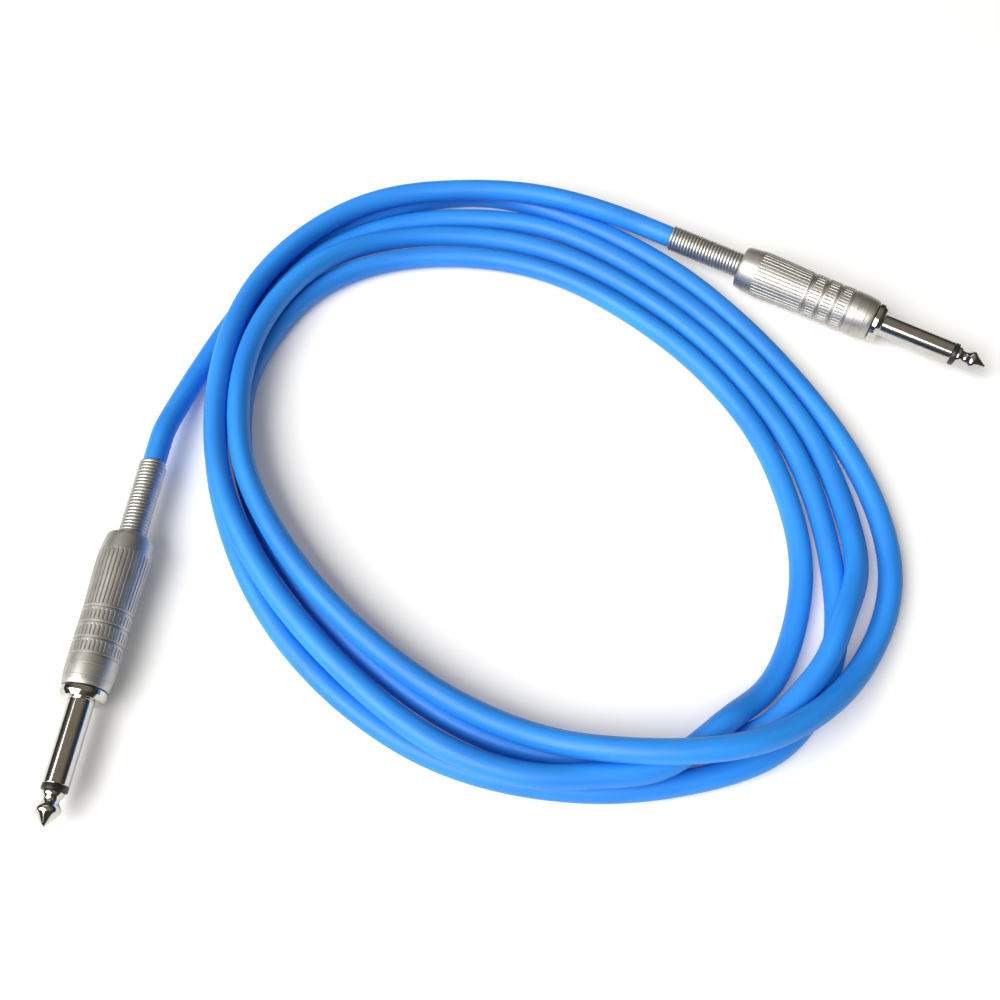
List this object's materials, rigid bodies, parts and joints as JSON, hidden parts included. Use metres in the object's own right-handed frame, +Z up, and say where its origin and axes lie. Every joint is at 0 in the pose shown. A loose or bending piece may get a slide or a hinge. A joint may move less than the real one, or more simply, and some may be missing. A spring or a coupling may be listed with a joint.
{
  "type": "instrument cable",
  "caption": "Coiled instrument cable in a blue jacket, with a straight metal phone plug, screw-off ribbed housing and strain relief spring on each end.",
  "frame": {"origin": "centre of the cable's box, at the height of the table it lies on", "axes": "+Z up from the table; +X along the longest side of the coil and its plugs, the way the right plug points; +Y completes the frame"},
  "size_m": [0.2418, 0.196, 0.0184],
  "materials": {
    "blue_jacket": "semi-gloss azure blue PVC with a fine waxy texture",
    "satin_nickel": "satin nickel plate, ribbed and grooved",
    "spring_steel": "satin nickel plated spring wire",
    "bright_nickel": "polished nickel plate",
    "black_insulator": "black moulded plastic",
    "white_plastic": "natural white polyethylene",
    "fibre_washer": "brown fibre board",
    "tinned_brass": "tinned brass",
    "clear_liner": "translucent plastic",
    "copper": "bare copper strands",
    "solder": "bright solder"
  },
  "bodies": {
    "coil": {"coil_jacket": "blue_jacket"},
    "left_tail": {"left_tail_jacket": "blue_jacket"},
    "left_plug": {"left_sleeve_contact": "bright_nickel", "left_tip_contact": "bright_nickel", "left_insulator_ring": "black_insulator", "left_insulating_tube": "white_plastic", "left_rear_washer": "fibre_washer", "left_ground_lug": "tinned_brass", "left_tip_lug": "tinned_brass", "left_rod_rivet": "tinned_brass", "left_core_insulation": "white_plastic", "left_centre_conductor": "copper", "left_braid_pigtail": "copper", "left_tip_solder": "solder", "left_ground_solder": "solder", "left_cover_tube": "clear_liner", "left_plug_jacket_end": "blue_jacket"},
    "left_spring": {"left_strain_relief_spring": "spring_steel"},
    "left_housing": {"left_housing": "satin_nickel"},
    "right_tail": {"right_tail_jacket": "blue_jacket"},
    "right_plug": {"right_sleeve_contact": "bright_nickel", "right_tip_contact": "bright_nickel", "right_insulator_ring": "black_insulator", "right_insulating_tube": "white_plastic", "right_rear_washer": "fibre_washer", "right_ground_lug": "tinned_brass", "right_tip_lug": "tinned_brass", "right_rod_rivet": "tinned_brass", "right_core_insulation": "white_plastic", "right_centre_conductor": "copper", "right_braid_pigtail": "copper", "right_tip_solder": "solder", "right_ground_solder": "solder", "right_cover_tube": "clear_liner", "right_plug_jacket_end": "blue_jacket"},
    "right_spring": {"right_strain_relief_spring": "spring_steel"},
    "right_housing": {"right_housing": "satin_nickel"}
  },
  "joints": [
    {"name": "left_tail_swing", "type": "hinge", "parent": "coil", "child": "left_tail", "pos_m": [-0.10261, 0.01871, 0.00478], "axis": [0, 0, -1], "range_deg": [-5, 35]},
    {"name": "left_plug_lift", "type": "hinge", "parent": "left_tail", "child": "left_plug", "pos_m": [-0.10554, 0.00671, 0.00665], "axis": [-0.9925, 0.1219, 0], "range_deg": [0, 45]},
    {"name": "left_housing_slide", "type": "slide", "parent": "left_plug", "child": "left_spring", "axis": [0.1219, 0.9925, 0], "range_m": [0, 0.0064]},
    {"name": "left_housing_turn", "type": "hinge", "parent": "left_spring", "child": "left_housing", "pos_m": [-0.11472, -0.06802, 0.00665], "axis": [0.1219, 0.9925, 0], "range_deg": [0, 2881]},
    {"name": "right_tail_swing", "type": "hinge", "parent": "coil", "child": "right_tail", "pos_m": [0.01696, 0.08448, 0.00825], "axis": [0, 0, 1], "range_deg": [-2, 33]},
    {"name": "right_plug_lift", "type": "hinge", "parent": "right_tail", "child": "right_plug", "pos_m": [0.02859, 0.08025, 0.00665], "axis": [-0.4848, -0.8746, 0], "range_deg": [0, 45]},
    {"name": "right_housing_slide", "type": "slide", "parent": "right_plug", "child": "right_spring", "axis": [-0.8746, 0.4848, 0], "range_m": [0, 0.0064]},
    {"name": "right_housing_turn", "type": "hinge", "parent": "right_spring", "child": "right_housing", "pos_m": [0.09445, 0.04374, 0.00665], "axis": [-0.8746, 0.4848, 0], "range_deg": [0, 2881]}
  ],
  "couplings": [
    {"joint": "left_housing_turn", "follows": "left_housing_slide", "rad_per_m": 7854},
    {"joint": "right_housing_turn", "follows": "right_housing_slide", "rad_per_m": 7854}
  ]
}
